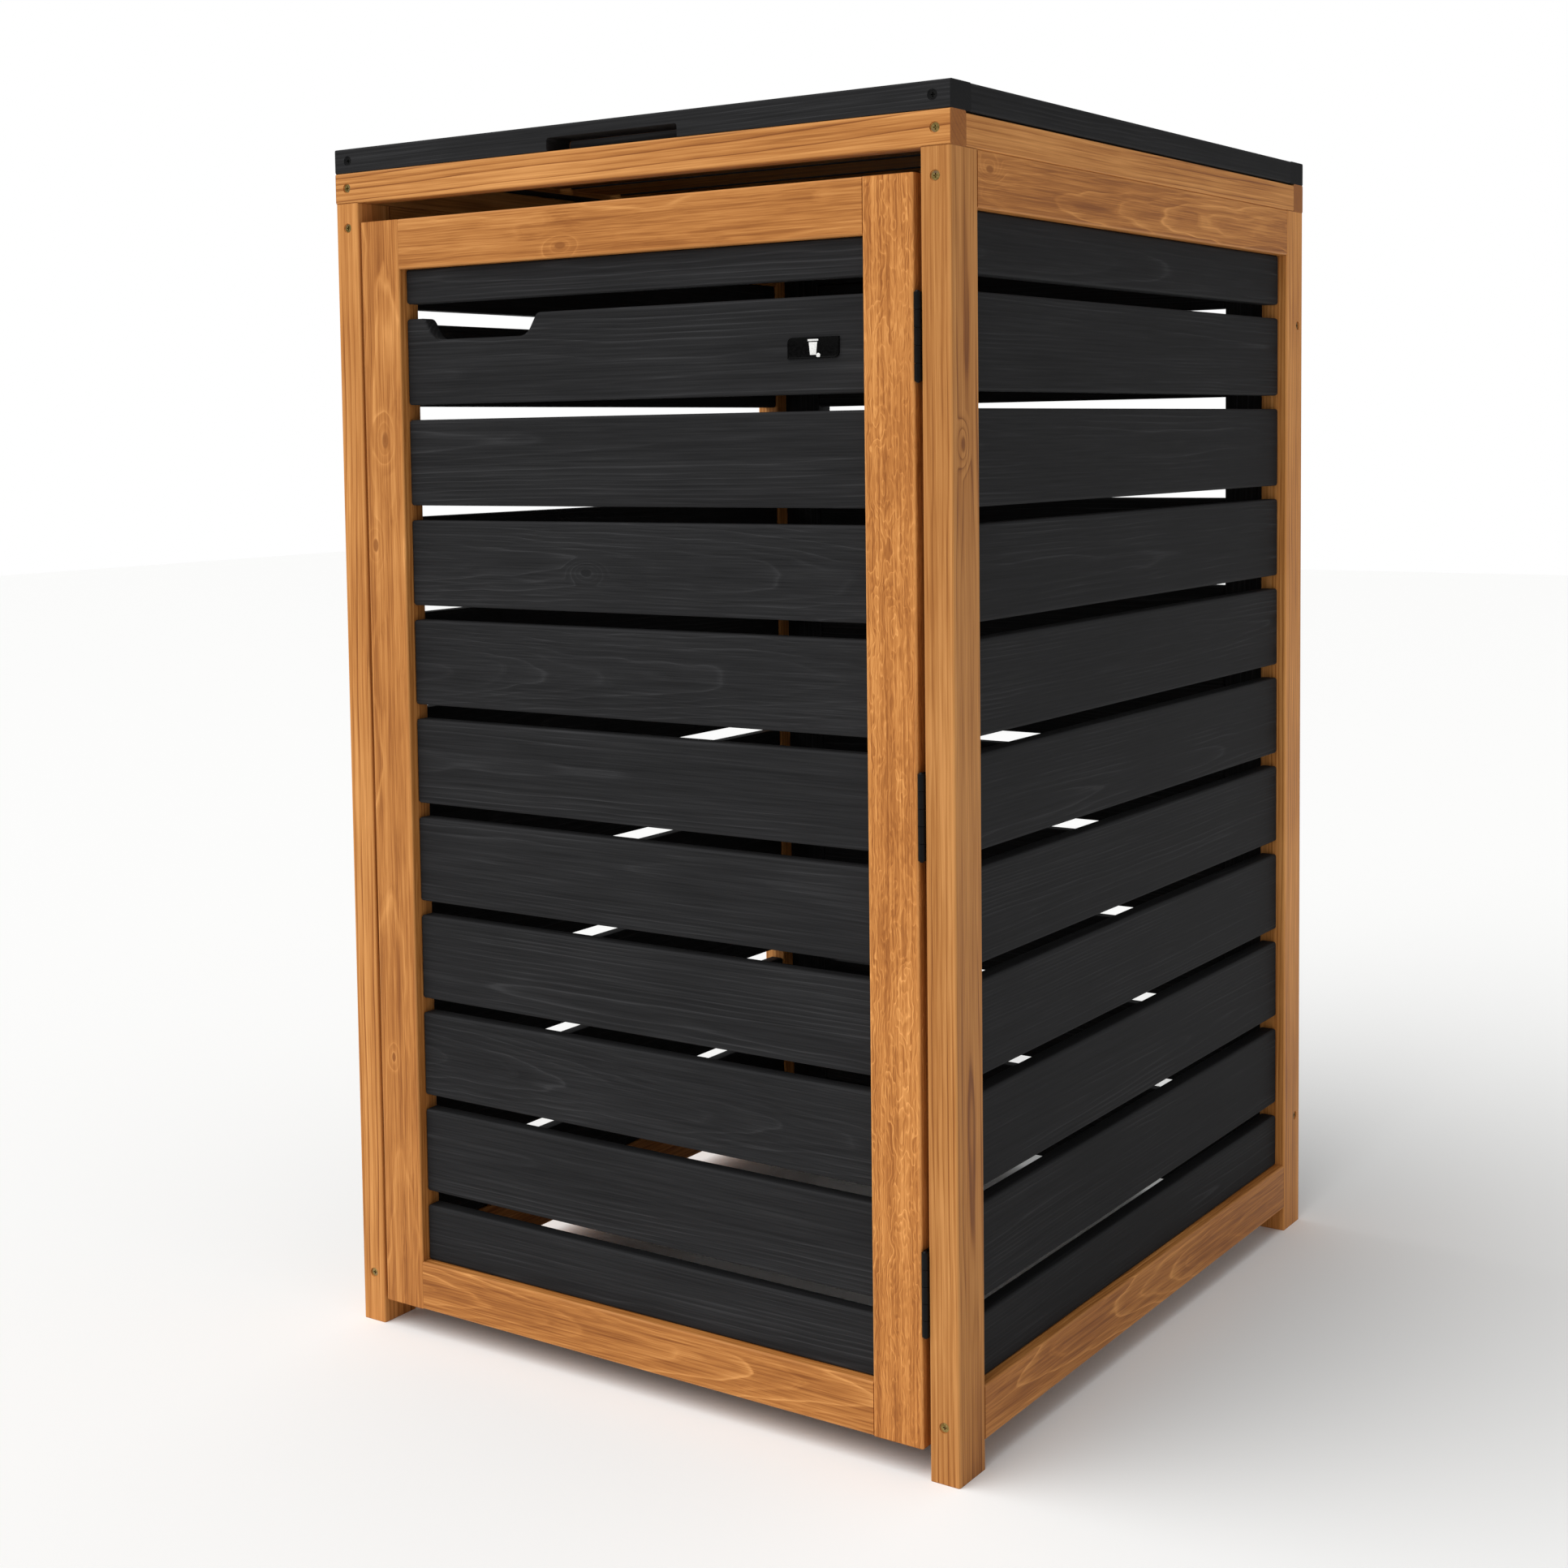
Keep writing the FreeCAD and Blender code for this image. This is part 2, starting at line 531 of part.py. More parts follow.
def build_lid():
    """A frame of four rails with boards between the side rails."""
    long_size = ["width", "lid_end_w", "lid_t"]
    back_y = f"({BACK} - lid_end_w)"
    output(timber("lid_front_rail", ["-width / 2", FRONT, RING_TOP], long_size, X))
    output(timber("lid_back_rail", ["-width / 2", back_y, RING_TOP], long_size, X))
    side_rails = ("lid_left_rail", "lid_right_rail")
    clear = "(depth - 2 * lid_end_w)"
    for (side_name, side), name in zip(SIDES, side_rails):
        corner = [side_x(side, "0", "lid_side_w"), f"({FRONT} + lid_end_w)", RING_TOP]
        output(timber(name, corner, ["lid_side_w", clear, "lid_t"], Y))
        for end_rail, face, inward in (("lid_front_rail", FRONT, 1), ("lid_back_rail", BACK, -1)):
            spot = [f"{side} * (width / 2 - lid_screw_in)", face, f"({RING_TOP} + lid_t / 2)"]
            frame_screw("lid_screws", end_rail, "lid_end_w", name, spot, AXES[Y] * inward,
                        short_master, "short_screw")
    wide = f"(({clear} - {LID_BOARDS + 1} * lid_gap) / {LID_BOARDS})"
    members = []
    for number in range(LID_BOARDS):
        low_y = f"({FRONT} + lid_end_w + lid_gap + {number} * ({wide} + lid_gap))"
        corner = ["(-width / 2 + lid_side_w)", low_y, "(height - lid_board_t)"]
        members.append(tenoned(f"lid_board_{number + 1}", corner,
                               ["(width - 2 * lid_side_w)", wide, "lid_board_t"], X, Z, side_rails,
                               "slat_ease", True))
    group("lid_boards", members)
    cut_notch("lid_front_rail", ["(-lid_notch_off - lid_notch_l / 2)", FRONT, RING_TOP],
              ["lid_notch_l", "lid_end_w", "lid_notch_deep"], "lid_notch_r")


# ---------------------------------------------------------------- hinges

def leaf_master(name, first_knuckle):
    """One leaf: axis along Z, timber face at +X, plate running away along +Y.

    Knuckles from the first one on, every second one, belong to this leaf.
    """
    body = doc.addObject("PartDesign::Body", name)
    plate = body.newObject("PartDesign::AdditiveBox", name + "_plate")
    bind(plate, Length="leaf_t", Width="leaf_w - barrel_r - knuckle_gap", Height="hinge_long")
    bind_place(plate, ["hinge_off - leaf_t", "barrel_r + knuckle_gap", "-hinge_long / 2"])
    step = f"(hinge_long / {KNUCKLES})"
    high = f"({step} - knuckle_gap)"
    for knuckle in range(first_knuckle, KNUCKLES, 2):
        low_z = f"(-hinge_long / 2 + {knuckle} * {step} + knuckle_gap / 2)"
        bridge = body.newObject("PartDesign::AdditiveBox", name + "_bridge")
        bind(bridge, Length="barrel_r - hinge_off + leaf_t", Width="barrel_r + 2 * knuckle_gap",
             Height=high)
        bind_place(bridge, ["hinge_off - leaf_t", "0", low_z])
        barrel = body.newObject("PartDesign::AdditiveCylinder", name + "_barrel")
        bind(barrel, Radius="barrel_r", Height=high)
        bind_place(barrel, ["0", "0", low_z])
    bore = body.newObject("PartDesign::SubtractiveCylinder", name + "_pin_bore")
    bind(bore, Radius="pin_r + pin_fit", Height="hinge_long")
    bind_place(bore, ["0", "0", "-hinge_long / 2"])
    for step_number in (-1, 0, 1):
        sink = body.newObject("PartDesign::SubtractiveCone", name + "_sink")
        sink.Placement = turned(AXES[X])
        bind(sink, Radius1="small_head_r + bore_room", Radius2="small_shank_r + bore_room",
             Height="leaf_t")
        bind_place(sink, ["hinge_off - leaf_t", "leaf_hole_in", f"({step_number}) * leaf_hole_step"])
    return body


def pin_master():
    """A hinge pin with a low round head at each end."""
    body = doc.addObject("PartDesign::Body", "pin_master")
    stem = body.newObject("PartDesign::AdditiveCylinder", "pin_stem")
    bind(stem, Radius="pin_r", Height="hinge_long")
    bind_place(stem, ["0", "0", "-hinge_long / 2"])
    for sign in (-1, 1):
        head = body.newObject("PartDesign::AdditiveCone", "pin_head")
        head.Placement = turned(AXES[Z] * sign)
        bind(head, Radius1="pin_head_r", Radius2="pin_tip_r", Height="pin_head_t")
        bind_place(head, ["0", "0", f"({sign}) * (hinge_long - knuckle_gap) / 2"])
    return body


def turn_of(local_x, local_y):
    """Rotation whose local X and Y axes point along two unit vectors."""
    local_z = local_x.cross(local_y)
    return FreeCAD.Rotation(local_x, local_y, local_z, "XYZ")


def hang_leaf(label, master, centre, local_x, local_y, holder, node):
    """Put a leaf against its timber and screw it on."""
    rotation = turn_of(local_x, local_y)
    leaf = copy_of(master, label + "_copy", centre, FreeCAD.Placement(FreeCAD.Vector(), rotation))
    group(label, [leaf])
    local_z = local_x.cross(local_y)
    for step in (-1, 0, 1):
        spot = along(centre, local_x, "hinge_off - leaf_t")
        spot = along(spot, local_y, "leaf_hole_in")
        spot = along(spot, local_z, f"({step}) * leaf_hole_step")
        small_screw(node, holder, spot, local_x, "leaf_t")


def build_hinges():
    """Three butt hinges on the door and two on the lid, all of one pattern."""
    outer_leaf = leaf_master("outer_leaf_master", 0)
    inner_leaf = leaf_master("inner_leaf_master", 1)
    pin = pin_master()
    pins = []
    for place, middle in (("lower", "(ground_gap + hinge_low_in)"),
                          ("middle", f"((ground_gap + {DOOR_TOP}) / 2 + hinge_mid_up)"),
                          ("upper", f"({DOOR_TOP} - hinge_top_in)")):
        centre = ["(width / 2 - post_w - hinge_off)", FRONT, middle]
        hang_leaf(f"{place}_hinge_post_leaf", outer_leaf, centre, AXES[X], AXES[Y],
                  "post_front_right", "fixed_hinge_screws")
        hang_leaf(f"{place}_hinge_door_leaf", inner_leaf, centre, AXES[X] * -1, AXES[Y],
                  "door_right_stile", "door_hinge_screws")
        pins.append(copy_of(pin, f"{place}_hinge_pin", centre, FreeCAD.Placement()))
    group("door_hinge_pins", pins)
    pins = []
    for side_name, side in SIDES:
        centre = [f"{side} * (width / 2 - lid_hinge_in)", f"({BACK} + hinge_off)", RING_TOP]
        hang_leaf(f"lid_hinge_{side_name}_frame_leaf", outer_leaf, centre, AXES[Y] * -1, AXES[Z] * -1,
                  "top_frame_back", "fixed_hinge_screws")
        hang_leaf(f"lid_hinge_{side_name}_lid_leaf", inner_leaf, centre, AXES[Y] * -1, AXES[Z],
                  "lid_back_rail", "lid_screws")
        pins.append(copy_of(pin, f"lid_hinge_{side_name}_pin", centre, turned(AXES[X])))
    group("lid_hinge_pins", pins)


# ---------------------------------------------------------------- whole store

def write_nodes():
    """Check every object, then write one STEP file per node."""
    doc.recompute()
    for thing in doc.Objects:
        faults = [state for state in thing.State if state in ("Invalid", "Error")]
        if faults:
            raise RuntimeError(f"{thing.Name} did not compute: {faults}")
    for thing in outputs:
        if thing.Shape.isNull() or not thing.Shape.isValid():
            raise RuntimeError(f"{thing.Label} has no valid shape")
    os.makedirs("parts", exist_ok=True)
    for thing in outputs:
        thing.Shape.exportStep(f"parts/{thing.Label}.step")
        print(thing.Label, len(thing.Shape.Solids), round(thing.Shape.Volume / 1000, 1))


build_posts()
build_top_frame()
build_side_panels()
build_back_panel()
build_door()
build_catch()
build_lid()
build_hinges()
for screw_node, members in screws.items():
    group(screw_node, members)
write_nodes()
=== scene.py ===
"""Looks of a timber store for one wheeled bin: grained timber, black hardware, a stage."""
import json
import math
import random

import bpy
from bpy.props import FloatProperty, FloatVectorProperty, PointerProperty
from mathutils import Matrix, Vector


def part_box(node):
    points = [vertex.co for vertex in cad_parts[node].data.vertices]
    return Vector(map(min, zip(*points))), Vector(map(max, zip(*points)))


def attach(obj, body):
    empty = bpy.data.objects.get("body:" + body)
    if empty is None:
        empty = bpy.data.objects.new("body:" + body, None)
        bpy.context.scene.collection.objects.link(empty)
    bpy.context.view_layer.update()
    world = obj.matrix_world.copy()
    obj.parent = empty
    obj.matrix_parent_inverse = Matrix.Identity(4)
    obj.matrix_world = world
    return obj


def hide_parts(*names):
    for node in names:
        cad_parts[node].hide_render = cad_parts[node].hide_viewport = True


bl_info = {
    "name": "Bin Store Looks",
    "version": (1, 0, 0),
    "blender": (4, 5, 0),
    "location": "3D View > Sidebar > Bin Store",
    "description": "Gives a packed timber bin store its timber, hardware and stage",
    "category": "Object",
}

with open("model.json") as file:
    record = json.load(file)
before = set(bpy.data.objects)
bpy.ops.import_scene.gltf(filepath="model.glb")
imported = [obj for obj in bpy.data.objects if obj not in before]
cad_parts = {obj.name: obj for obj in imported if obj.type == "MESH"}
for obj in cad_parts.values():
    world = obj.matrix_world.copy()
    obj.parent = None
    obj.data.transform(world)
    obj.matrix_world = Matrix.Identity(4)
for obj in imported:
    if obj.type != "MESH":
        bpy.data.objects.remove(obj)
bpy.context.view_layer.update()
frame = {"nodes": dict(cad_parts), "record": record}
MM = 0.001


# ---------------------------------------------------------------- helpers

def linear(hex_colour):
    """The linear colour of an sRGB hex value."""
    parts = [int(hex_colour[i:i + 2], 16) / 255 for i in (1, 3, 5)]
    return tuple(p / 12.92 if p <= 0.04045 else ((p + 0.055) / 1.055) ** 2.4 for p in parts)


def add(tree, kind, inputs=None, **settings):
    """Add a node with its settings, and its inputs as values, sockets or nodes to link."""
    made = tree.nodes.new(kind)
    for name, value in settings.items():
        setattr(made, name, value)
    for key, value in (inputs or {}).items():
        if isinstance(value, bpy.types.Node):
            value = value.outputs[0]
        if isinstance(value, bpy.types.NodeSocket):
            tree.links.new(value, made.inputs[key])
        else:
            made.inputs[key].default_value = value
    return made


def set_ramp(ramp, stops):
    """Give a colour ramp its stops, each a place and a grey value or a colour."""
    elements = ramp.color_ramp.elements
    while len(elements) > 1:
        elements.remove(elements[-1])
    for number, (place, value) in enumerate(stops):
        element = elements[0] if number == 0 else elements.new(place)
        element.position = place
        element.color = (*value, 1) if isinstance(value, tuple) else (value, value, value, 1)


def new_material(name):
    """A material with a principled shader, and its node tree and shader."""
    material = bpy.data.materials.new(name)
    material.use_nodes = True
    tree = material.node_tree
    return material, tree, tree.nodes["Principled BSDF"]


def dress(node, material):
    """Give a CAD node one material."""
    for slot in frame["nodes"][node].material_slots:
        slot.link = "OBJECT"
        slot.material = material


# ---------------------------------------------------------------- timber

def spread(tree, value, low, high, to_low=0.0, to_high=1.0, soft=True):
    """Stretch a value from one span to another, held at both ends."""
    return add(tree, "ShaderNodeMapRange",
               {"Value": value, "From Min": low, "From Max": high, "To Min": to_low, "To Max": to_high},
               interpolation_type="SMOOTHSTEP" if soft else "LINEAR").outputs["Result"]


def sums(tree, *terms):
    """Sum of pairs of a value and a factor, less the factor times the value's middle."""
    total = None
    for value, factor, middle in terms:
        term = add(tree, "ShaderNodeMath", {0: value, 1: factor, 2: -factor * middle},
                   operation="MULTIPLY_ADD")
        total = term if total is None else add(tree, "ShaderNodeMath", {0: total, 1: term})
    return total.outputs[0]


def stretched_noise(tree, place, scale, shift, detail=3.0, roughness=0.55):
    """Noise whose lumps are as long along each axis as one over that axis's scale."""
    mapped = add(tree, "ShaderNodeMapping", {"Vector": place, "Location": shift, "Scale": scale},
                 vector_type="POINT")
    return add(tree, "ShaderNodeTexNoise", {"Vector": mapped, "Scale": 1.0, "Detail": detail,
                                            "Roughness": roughness})


def board_place(tree, low, high, run, face, rows):
    """Place in a board: X along its run, Z out of its wide face, zero in its middle.

    Where one node holds a row of boards, the middle is each board's own, and the second
    value returned is the board's number in the row.
    """
    parts = add(tree, "ShaderNodeSeparateXYZ", {0: add(tree, "ShaderNodeTexCoord").outputs["Object"]})
    sockets = []
    number = None
    for axis in range(3):
        if rows and axis == rows[0]:
            _, first, pitch, wide = rows
            steps = add(tree, "ShaderNodeMath", {0: parts.outputs[axis], 1: 1 / pitch, 2: -first / pitch},
                        operation="MULTIPLY_ADD")
            number = add(tree, "ShaderNodeMath", {0: steps}, operation="FLOOR").outputs[0]
            rest = add(tree, "ShaderNodeMath", {0: steps}, operation="FRACT")
            sockets.append(add(tree, "ShaderNodeMath", {0: rest, 1: pitch, 2: -wide / 2},
                               operation="MULTIPLY_ADD").outputs[0])
        else:
            sockets.append(add(tree, "ShaderNodeMath",
                               {0: parts.outputs[axis], 1: (low[axis] + high[axis]) / 2},
                               operation="SUBTRACT").outputs[0])
    across = 3 - run - face
    return add(tree, "ShaderNodeCombineXYZ", {0: sockets[run], 1: sockets[across], 2: sockets[face]}), number


def edge_wear_and_highlight(tree, place, half_wide, half_thick):
    """One at a board's long edges, nothing a few millimetres in: there the colour goes paler, as wear and as
    a painted highlight.
    """
    parts = add(tree, "ShaderNodeSeparateXYZ", {0: place})
    insets = []
    for socket, half in ((parts.outputs[1], half_wide), (parts.outputs[2], half_thick)):
        size = add(tree, "ShaderNodeMath", {0: socket}, operation="ABSOLUTE")
        insets.append(add(tree, "ShaderNodeMath", {0: half, 1: size}, operation="SUBTRACT"))
    inset = add(tree, "ShaderNodeMath", {0: insets[0], 1: insets[1]}, operation="MAXIMUM")
    return spread(tree, inset, 0.6 * MM, 3.2 * MM, 1.0, 0.0)


def knot_swell(tree, place, knots):
    """How far knots push the rings aside, and the dark hearts of the knots."""
    push, heart = None, None
    for along, across, radius in knots:
        offset = add(tree, "ShaderNodeVectorMath", {0: place, 1: (along, across, 0)},
                     operation="SUBTRACT")
        flat = add(tree, "ShaderNodeVectorMath", {0: offset, 1: (0.5, 1, 0)}, operation="MULTIPLY")
        away = add(tree, "ShaderNodeVectorMath", {0: flat}, operation="LENGTH").outputs["Value"]
        swell = spread(tree, away, 0.0, radius * 4, radius * 3, 0.0)
        spot = spread(tree, away, radius * 0.6, radius, 1.0, 0.0)
        push = swell if push is None else add(tree, "ShaderNodeMath", {0: push, 1: swell})
        heart = spot if heart is None else add(tree, "ShaderNodeMath", {0: heart, 1: spot})
    return push, heart


TONE_PLACES = (0.05, 0.3, 0.5, 0.7, 0.95)      # how dark each of a finish's five tones is
# Darkness through one year's ring, from early wood to late wood and back.
SEASON = [(0.0, 0.35), (0.1, 0.0), (0.5, 0.08), (0.8, 0.4), (0.93, 1.0), (1.0, 0.35)]
# Grain in lumps a metre, along a board and across it both ways. The pores and the fibres are
# coarser than real ones, which would be too fine to show.
PLAIN_GRAIN = (3.5, 11, 11)        # stretches 290 mm long where the rings hardly show
FIBRE_GRAIN = (9, 520, 520)        # fibres 2 mm wide
FLECK_GRAIN = (45, 700, 700)       # pores 22 mm long
BAND_GRAIN = (1.6, 110, 110)       # bands 9 mm wide
CLOUD_GRAIN = (5, 16, 16)          # patches where the stain took 60 mm wide
DRIFT = 50                         # how far apart in the noise two boards may lie, in lumps
LOT_DRIFT = 3                      # the same for the boards of a row, in metres
END_SKIN = 0.6 * MM                # end grain reaches this far along a board
IOR_OF_STAIN = 1.5


def growth_rings(tree, place, wander, lot, cut, knots, draw, drift):
    """The rings as they cut a board's faces: shells round a pith line beside the board."""
    side = draw.choice((-1, 1))
    lean = math.radians(draw.uniform(0.6, 1.4) * cut["lean"])
    shells = add(tree, "ShaderNodeMapping",
                 {"Vector": place, "Rotation": (0, lean, lean * draw.uniform(-1, 1)),
                  "Location": (0, draw.uniform(-1, 1) * cut["aside"], side * cut["deep"])},
                 vector_type="POINT")
    if lot:
        moved = add(tree, "ShaderNodeVectorMath", {0: lot, 1: (0.5, 0.5, 0.5)}, operation="SUBTRACT")
        shells = add(tree, "ShaderNodeVectorMath",
                     {0: moved, 1: (0, 2 * cut["aside"], cut["deep"]), 2: shells},
                     operation="MULTIPLY_ADD")
    sway = stretched_noise(tree, wander, cut["sway_scale"], drift)
    sway = add(tree, "ShaderNodeVectorMath", {0: sway.outputs["Color"], 1: (0.5, 0.5, 0.5)},
               operation="SUBTRACT")
    shells = add(tree, "ShaderNodeVectorMath", {0: sway, 1: (0, *(2 * cut["sway"],) * 2), 2: shells},
                 operation="MULTIPLY_ADD")
    shells = add(tree, "ShaderNodeVectorMath", {0: shells, 1: (0, 1, 1)}, operation="MULTIPLY")
    distance = add(tree, "ShaderNodeVectorMath", {0: shells}, operation="LENGTH").outputs["Value"]
    heart = None
    if knots:
        push, heart = knot_swell(tree, place, knots)
        distance = add(tree, "ShaderNodeMath", {0: distance, 1: push})
    years = add(tree, "ShaderNodeMath", {0: distance, 1: cut["ring"]}, operation="DIVIDE")
    season = add(tree, "ShaderNodeValToRGB",
                 {"Fac": add(tree, "ShaderNodeMath", {0: years}, operation="FRACT")})
    set_ramp(season, SEASON)
    year = add(tree, "ShaderNodeMath", {0: years}, operation="FLOOR")
    year = add(tree, "ShaderNodeTexWhiteNoise", {"W": year}, noise_dimensions="1D").outputs["Value"]
    plain = stretched_noise(tree, wander, PLAIN_GRAIN, drift[::-1], detail=2.0)
    shown = add(tree, "ShaderNodeMath", {0: spread(tree, plain, 0.36, 0.62, 0.25, 1.0),
                                         1: spread(tree, year, 0.0, 1.0, 0.35, 1.0)}, operation="MULTIPLY")
    rings = add(tree, "ShaderNodeMath", {0: season, 1: shown}, operation="MULTIPLY").outputs[0]
    return rings, shells, heart


def toned(tree, dark, colours):
    """Colour of a darkness, which is nothing in the middle tone, among a finish's tones."""
    tone = add(tree, "ShaderNodeValToRGB", {"Fac": add(tree, "ShaderNodeMath", {0: dark, 1: 0.5})})
    set_ramp(tone, list(zip(TONE_PLACES, colours)))
    return tone.outputs["Color"]


def stained_softwood(name, low, high, run, face, finish, cut, seed, knots=(), rows=None, inside=None):
    """Planed spruce under a stain: growth rings as the board's faces cut them, fibres, knots.

    A wide face shows arches where it lies along the rings, narrow faces show stripes, and the
    ends show arcs.
    """
    draw = random.Random(seed)
    material, tree, shader = new_material(name)
    place, number = board_place(tree, low, high, run, face, rows)
    drift = tuple(draw.uniform(0, DRIFT) for _ in range(3))
    wander, lot = place, None
    if number:
        lot = add(tree, "ShaderNodeTexWhiteNoise", {"W": number}, noise_dimensions="1D").outputs["Color"]
        wander = add(tree, "ShaderNodeVectorMath", {0: lot, 1: (LOT_DRIFT,) * 3, 2: place},
                     operation="MULTIPLY_ADD")
    rings, shells, heart = growth_rings(tree, place, wander, lot, cut, knots, draw, drift)

    fibres = stretched_noise(tree, wander, FIBRE_GRAIN, drift, detail=2.0, roughness=0.7)
    flecks = stretched_noise(tree, shells, FLECK_GRAIN, drift, detail=2.0, roughness=0.6)
    bands = stretched_noise(tree, wander, BAND_GRAIN, drift, detail=3.0, roughness=0.6)
    clouds = stretched_noise(tree, wander, CLOUD_GRAIN, drift, detail=4.0, roughness=0.6)
    dark = sums(tree, (rings, finish["rings"] * cut["late"], 0.25), (fibres, finish["fibres"], 0.5),
                (flecks, finish["fibres"] * cut["flecks"], 0.5), (bands, finish["bands"], 0.5),
                (clouds, finish["clouds"], 0.5))
    colour = toned(tree, dark, finish["tones"])

    # edges paler as wear and as a painted highlight, end grain and knots
    palest, deepest = finish["tones"][0], finish["tones"][-1]
    half = (high - low) / 2
    across = 3 - run - face
    half_wide = rows[3] / 2 if rows and rows[0] == across else half[across]
    # Long edges go toward the palest tone: partly wear, partly a painted highlight.
    worn_and_highlit = add(tree, "ShaderNodeMath", {0: edge_wear_and_highlight(tree, place, half_wide, half[face]),
                                        1: spread(tree, fibres, 0.4, 0.65, 0.15, finish["edge"])},
               operation="MULTIPLY")
    colour = mixed(tree, worn_and_highlit, colour, palest)
    length = add(tree, "ShaderNodeMath",
                 {0: add(tree, "ShaderNodeSeparateXYZ", {0: place}).outputs[0]}, operation="ABSOLUTE")
    end = spread(tree, length, half[run] - END_SKIN, half[run] - END_SKIN / 3, 0.0, 0.75)
    colour = mixed(tree, end, colour, deepest)
    if heart:
        heart = add(tree, "ShaderNodeMath", {0: heart, 1: 0.75}, operation="MULTIPLY")
        colour = mixed(tree, heart, colour, deepest)
    if inside:
        colour = inner_stain(tree, colour, dark, inside)

    rough = spread(tree, dark, -0.4, 0.4, finish["rough"] + 0.08, finish["rough"] - 0.08, soft=False)
    relief = sums(tree, (rings, 0.5, 0), (fibres, 0.7, 0))
    bump = add(tree, "ShaderNodeBump", {"Height": relief, "Strength": finish["relief"],
                                        "Distance": 0.4 * MM})
    for key, value in (("Base Color", colour), ("Roughness", rough), ("Normal", bump.outputs[0])):
        tree.links.new(value, shader.inputs[key])
    shader.inputs["IOR"].default_value = IOR_OF_STAIN
    shader.inputs["Specular IOR Level"].default_value = finish["gloss"]
    return material


STAIN_BLUR = 0.4 * MM              # half the width over which one stain gives way to another


def inner_stain(tree, colour, dark, inside):
    """Change the outer stain for the inner one where a point lies past all of some planes."""
    planes, inner_tones = inside
    parts = add(tree, "ShaderNodeSeparateXYZ", {0: add(tree, "ShaderNodeTexCoord").outputs["Object"]})
    share = 1.0
    for axis, plane, sign in planes:
        past = add(tree, "ShaderNodeMath", {0: parts.outputs[axis], 1: sign, 2: -sign * plane},
                   operation="MULTIPLY_ADD")
        share = add(tree, "ShaderNodeMath", {0: spread(tree, past, -STAIN_BLUR, STAIN_BLUR), 1: share},
                    operation="MULTIPLY")
    return mixed(tree, share, colour, toned(tree, dark, inner_tones))


def mixed(tree, factor, colour, other):
    """Colour socket of a mix from one colour to another by a factor."""
    other = other if isinstance(other, bpy.types.NodeSocket) else (*other, 1)
    return add(tree, "ShaderNodeMix", {0: factor, 6: colour, 7: other}, data_type="RGBA").outputs[2]


# How a board was sawn: sizes in metres, scales in lumps a metre, lean in degrees.
ARCHED = {"lean": 1.8, "aside": 0.02, "deep": 0.035, "ring": 3.0 * MM, "late": -0.9, "flecks": 0.5,
          "sway": 0.007, "sway_scale": (4, 14, 14)}
STRIPED = {"lean": 0.4, "aside": 0.06, "deep": 0.045, "ring": 4.2 * MM, "late": 1.2, "flecks": 0.3,
           "sway": 0.008, "sway_scale": (1.6, 6, 6)}
CURLED = {"lean": 0.8, "aside": 0.008, "deep": 0.03, "ring": 1.6 * MM, "late": -0.85, "flecks": 0.9,
          "sway": 0.010, "sway_scale": (14, 40, 40)}
PLAIN = {"lean": 0.9, "aside": 0.015, "deep": 0.06, "ring": 5.0 * MM, "late": -0.7, "flecks": 0.6,
         "sway": 0.012, "sway_scale": (4, 12, 12)}
SLATTED_ARCHED = {**ARCHED, "ring": 3.0 * MM, "late": 0.75}
SLATTED = {"lean": 0.5, "aside": 0.03, "deep": 0.03, "ring": 3.4 * MM, "late": 1.0, "flecks": 0.3,
           "sway": 0.008, "sway_scale": (2, 9, 9)}


class BINSTORE_PG_looks(bpy.types.PropertyGroup):
    """Colours and finishes that a user would change."""
    brown: FloatVectorProperty(name="Brown stain", description="Middle tone of the brown stained timber",
                               subtype="COLOR", default=linear("#BC7C3F"))
    black: FloatVectorProperty(name="Black stain", description="Middle tone of the black stained timber",
                               subtype="COLOR", default=linear("#2A2A2B"))
    floor_tone: FloatVectorProperty(name="Floor", description="Pale floor", subtype="COLOR",
                                    default=linear("#FCFCFB"))
    light_power: FloatProperty(name="Studio light", description="Strength of the wide soft light",
                               default=2.4, min=0.0)


def tones(middle, factors):
    """Tones from light to deep: the middle tone times a factor for each of its channels."""
    return [tuple(part * factor for part, factor in zip(middle, row)) for row in factors]


def brown_finish(looks, shade=1.0):
    """Translucent honey-brown stain: the grain stays easy to see, with a satin sheen."""
    spread_of_tones = ((1.4, 1.6, 2.0), (1.14, 1.22, 1.36), (0.97, 0.96, 0.95), (0.74, 0.67, 0.6),
                       (0.5, 0.4, 0.32))
    middle = [part * shade for part in looks.brown]
    # "edge" is how far the long edges go pale, as wear and as a painted highlight.
    return {"tones": tones(middle, spread_of_tones), "rings": 0.65, "fibres": 1.05, "bands": 0.8,
            "clouds": 0.6, "edge": 0.55, "rough": 0.52, "relief": 0.3, "gloss": 0.15}


def black_finish(looks):
    """Dense black stain: the grain only shows faintly, with a low sheen."""
    spread_of_tones = [(factor,) * 3 for factor in (1.75, 1.25, 1.0, 0.84, 0.65)]
    # "edge" is how far the long edges go pale, as wear and as a painted highlight.
    return {"tones": tones(looks.black, spread_of_tones), "rings": -0.75, "fibres": 1.3, "bands": 0.5,
            "clouds": 0.6, "edge": 0.4, "rough": 0.65, "relief": 0.4, "gloss": 0.04}


def board_box(node):
    """Corners of a node, as vectors."""
    low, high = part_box(node)
    return Vector(low), Vector(high)


def run_and_face(low, high):
    """Axis along which a board runs, and the axis of its wide face."""
    size = high - low
    order = sorted(range(3), key=lambda axis: size[axis])
    return order[2], order[0]


